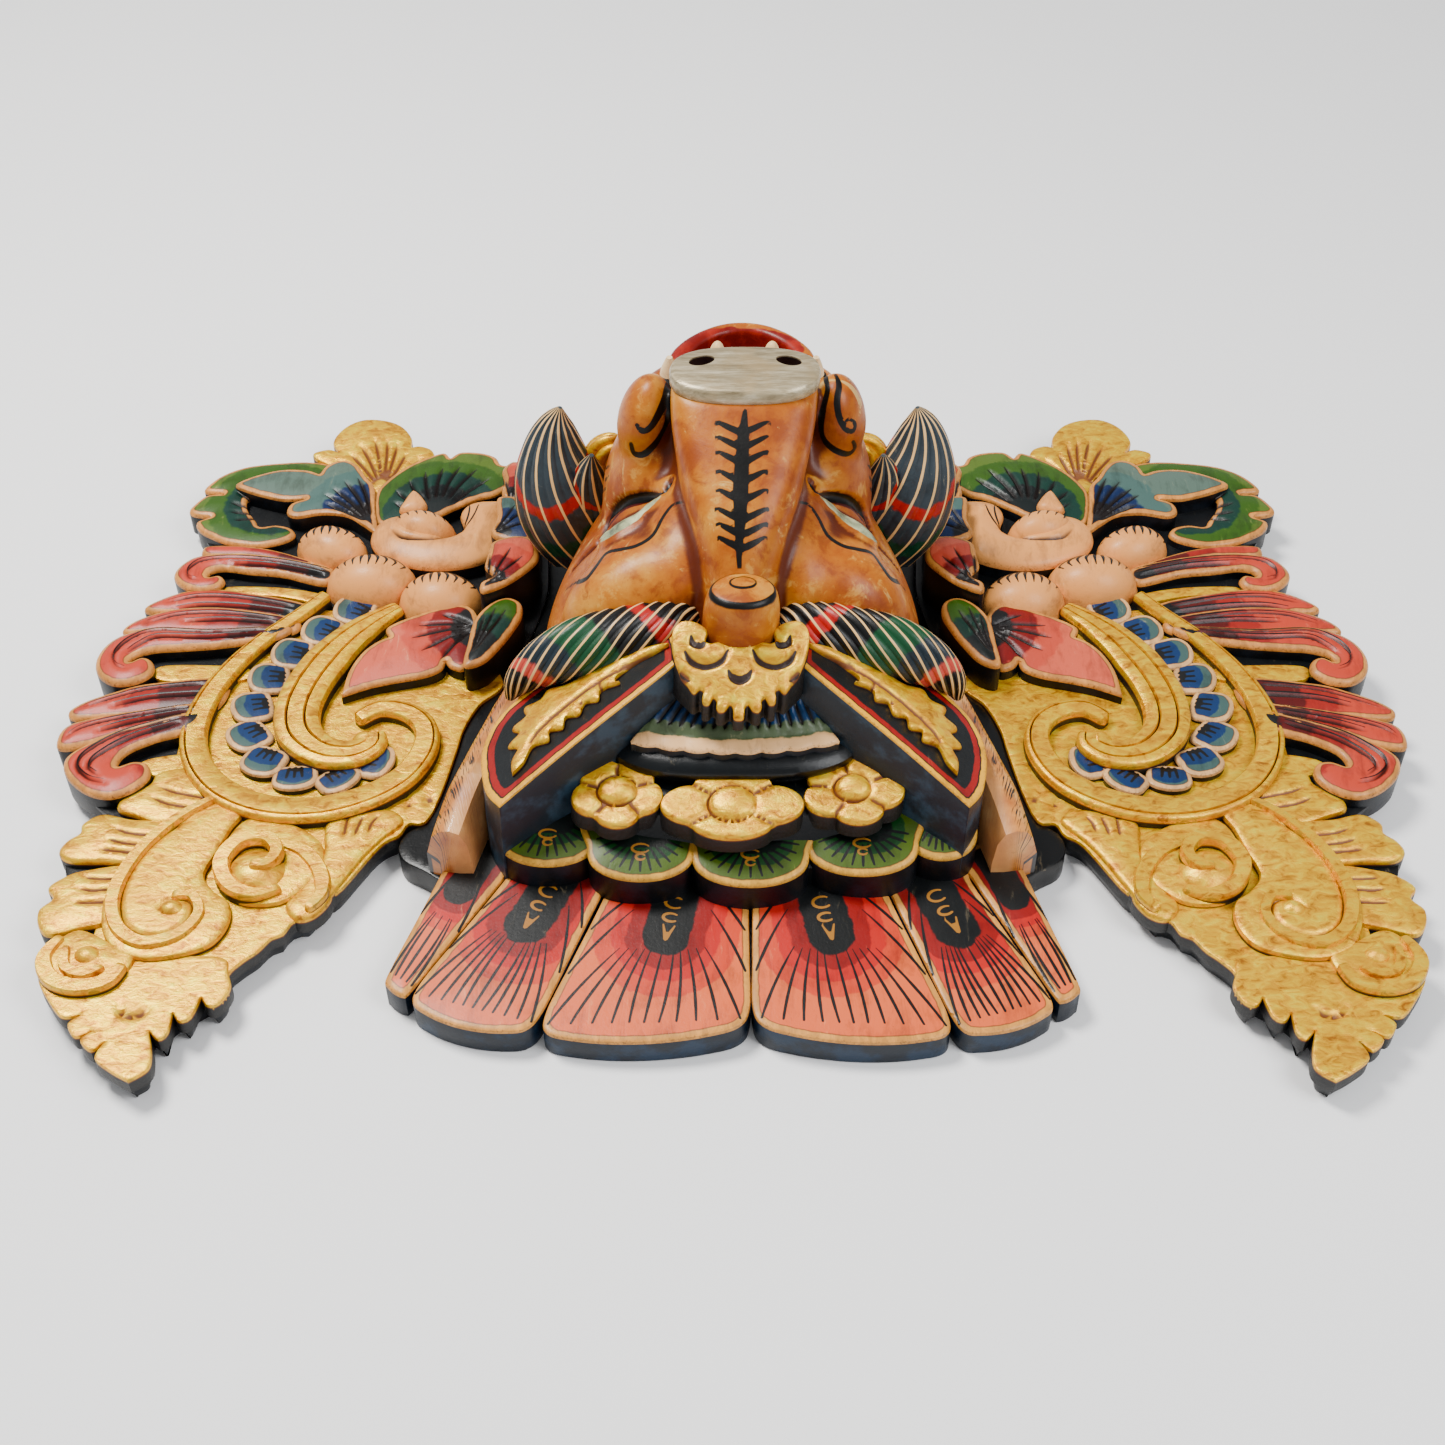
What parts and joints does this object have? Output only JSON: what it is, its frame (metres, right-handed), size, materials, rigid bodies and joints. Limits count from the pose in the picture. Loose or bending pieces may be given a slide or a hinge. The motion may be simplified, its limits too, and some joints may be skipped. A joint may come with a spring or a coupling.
{
  "type": "carved boar barong mask",
  "caption": "Carved and painted boar mask with a feather crown and two scrolling leaf wings, hollow behind, to hang on a wall.",
  "frame": {"origin": "middle of the mask's bounding box, on the flat back that lies on the surface", "axes": "+X to the wing on the right as seen from above the crown, -Y to the crown of the head, +Z the way the face looks"},
  "size_m": [0.552, 0.381, 0.155],
  "materials": {
    "mask_head": "painted and lacquered",
    "wing_left": "painted, lacquered and gilded",
    "wing_right": "painted, lacquered and gilded"
  },
  "bodies": {
    "root": {"mask_head": "mask_head", "wing_left": "wing_left", "wing_right": "wing_right"}
  },
  "joints": []
}
